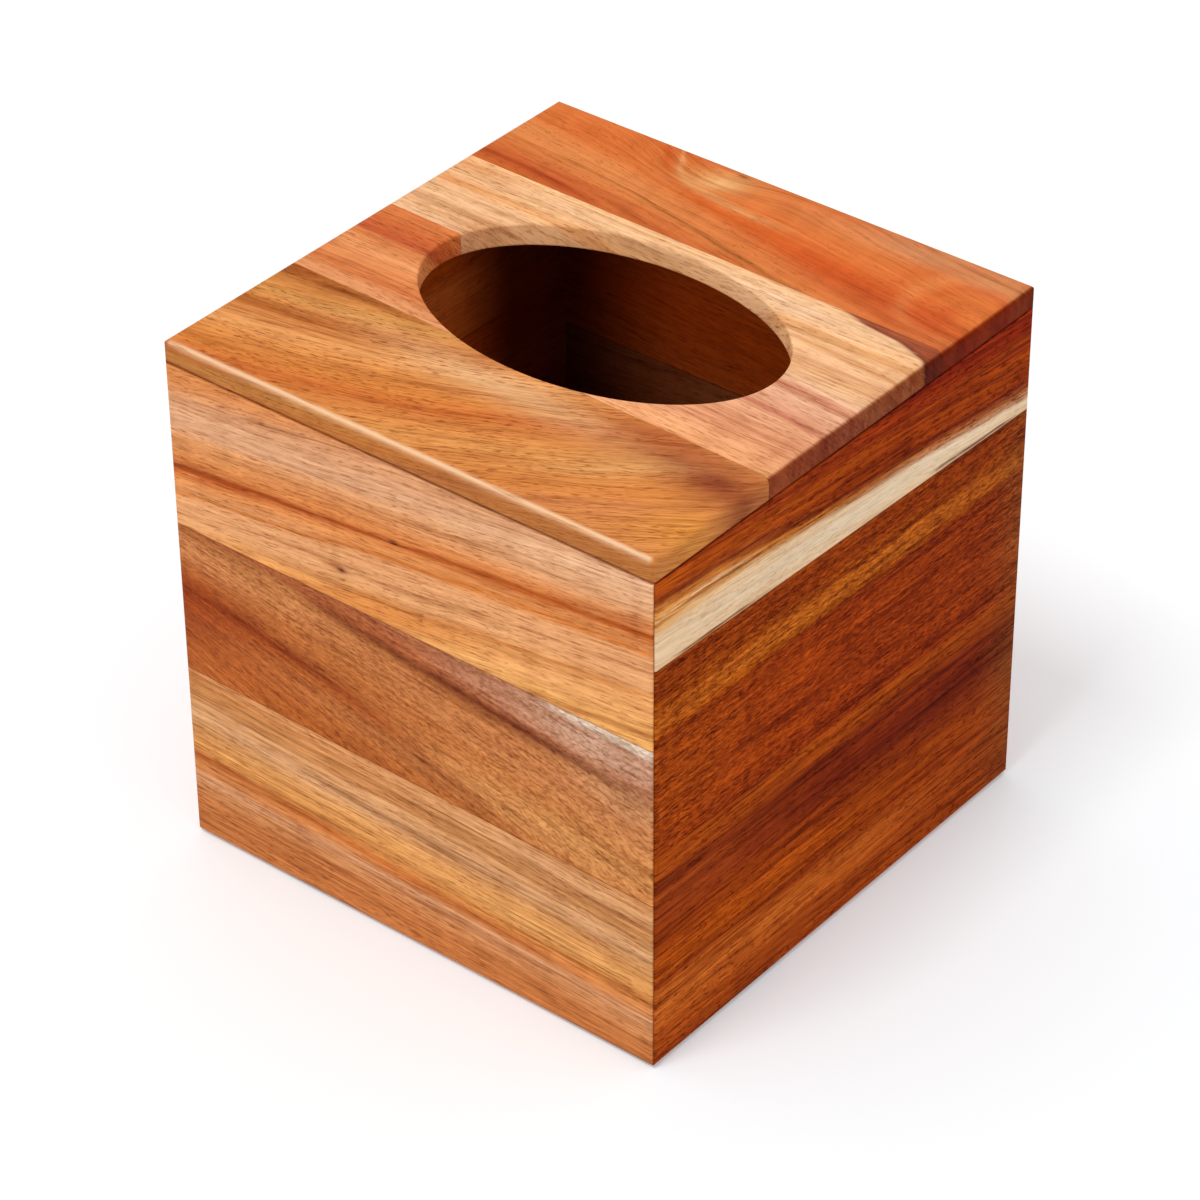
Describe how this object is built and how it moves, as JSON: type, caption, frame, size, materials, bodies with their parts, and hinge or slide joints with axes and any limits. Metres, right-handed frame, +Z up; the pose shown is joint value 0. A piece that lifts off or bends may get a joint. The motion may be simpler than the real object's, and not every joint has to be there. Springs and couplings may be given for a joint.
{
  "type": "tissue box cover",
  "caption": "Cube-shaped wooden tissue box cover of edge-glued staves with mitred corners, an oval opening in its lid and an open bottom.",
  "frame": {"origin": "middle of the base, in the plane of the lower rim that it stands on", "axes": "+Z up through the oval opening, front wall towards -Y, right wall towards +X, long axis of the oval along X"},
  "size_m": [0.14, 0.14, 0.14],
  "materials": {
    "golden_wood": "satin clear finish",
    "red_amber_wood": "satin clear finish",
    "pale_peach_wood": "satin clear finish",
    "pink_tan_wood": "satin clear finish",
    "tan_wood": "satin clear finish",
    "brown_wood": "satin clear finish",
    "dark_red_wood": "satin clear finish",
    "spline_wood": "unfinished"
  },
  "bodies": {
    "root": {"lid_stave_front": "golden_wood", "front_wall_lower": "golden_wood", "left_wall_upper": "golden_wood", "lid_stave_back": "red_amber_wood", "left_wall_middle": "red_amber_wood", "lid_stave_middle": "pale_peach_wood", "lid_stave_left": "pink_tan_wood", "lid_stave_right": "pink_tan_wood", "front_wall_upper": "tan_wood", "back_wall_middle": "tan_wood", "front_wall_middle": "brown_wood", "back_wall_upper": "brown_wood", "left_wall_lower": "brown_wood", "right_wall_upper": "dark_red_wood", "right_wall_middle": "dark_red_wood", "right_wall_lower": "dark_red_wood", "back_wall_lower": "dark_red_wood", "corner_spline_front_right": "spline_wood", "corner_spline_back_right": "spline_wood", "corner_spline_back_left": "spline_wood", "corner_spline_front_left": "spline_wood"}
  },
  "joints": []
}
